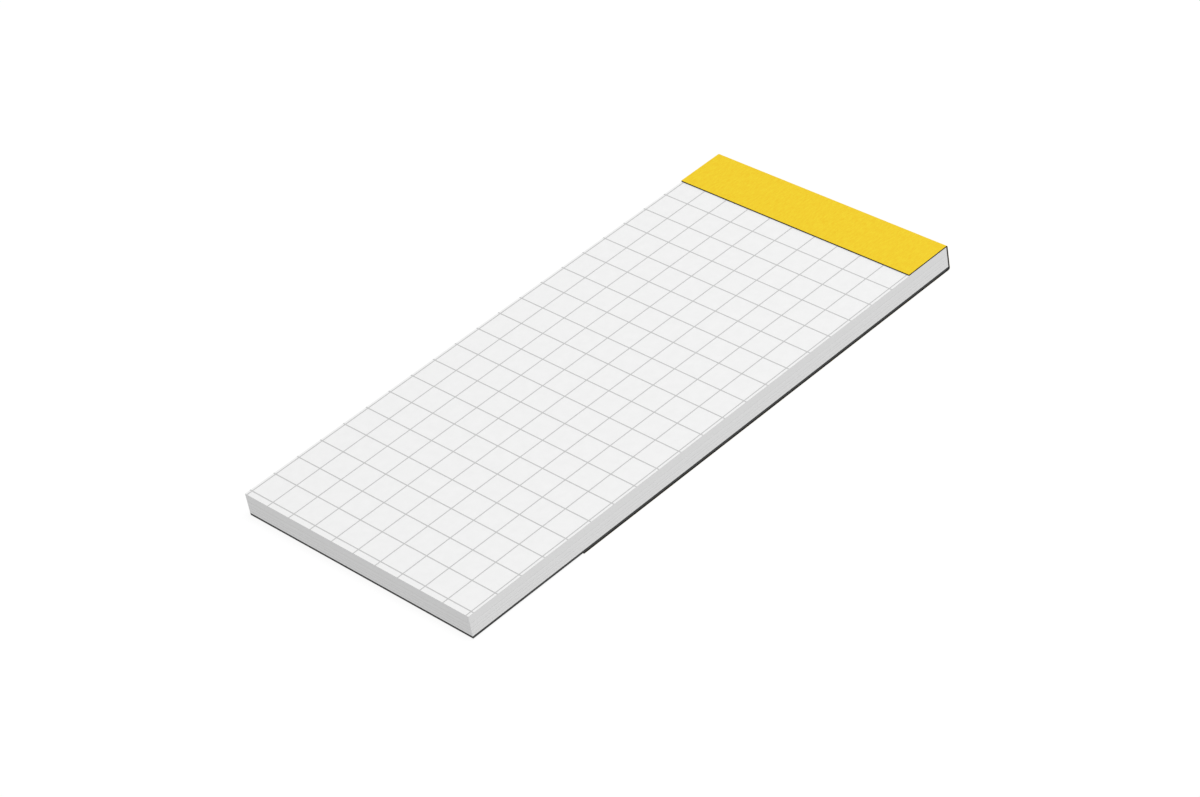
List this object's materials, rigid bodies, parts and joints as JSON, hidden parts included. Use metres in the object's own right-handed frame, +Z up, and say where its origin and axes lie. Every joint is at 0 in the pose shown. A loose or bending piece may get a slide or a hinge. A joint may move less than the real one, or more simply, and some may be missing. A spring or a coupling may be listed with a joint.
{
  "type": "grid notepad",
  "caption": "Slim head-glued notepad of squared sheets on a grey board, with a yellow card wrap folded over its head and under its back, for notes and sketches.",
  "frame": {"origin": "middle of the footprint, on the surface that the pad lies on", "axes": "+X across the sheets to the right, +Y along the sheets towards the bound head, +Z up"},
  "size_m": [0.051, 0.1102, 0.0048],
  "materials": {
    "writing_paper": "matte",
    "grey_ink": "matte",
    "grey_board": "matte",
    "padding_glue": "satin",
    "yellow_card": "matte"
  },
  "bodies": {
    "root": {"sheet_block": "writing_paper", "ruled_grid": "grey_ink", "backing_board": "grey_board", "padding_glue": "padding_glue", "head_wrap": "yellow_card"}
  },
  "joints": []
}
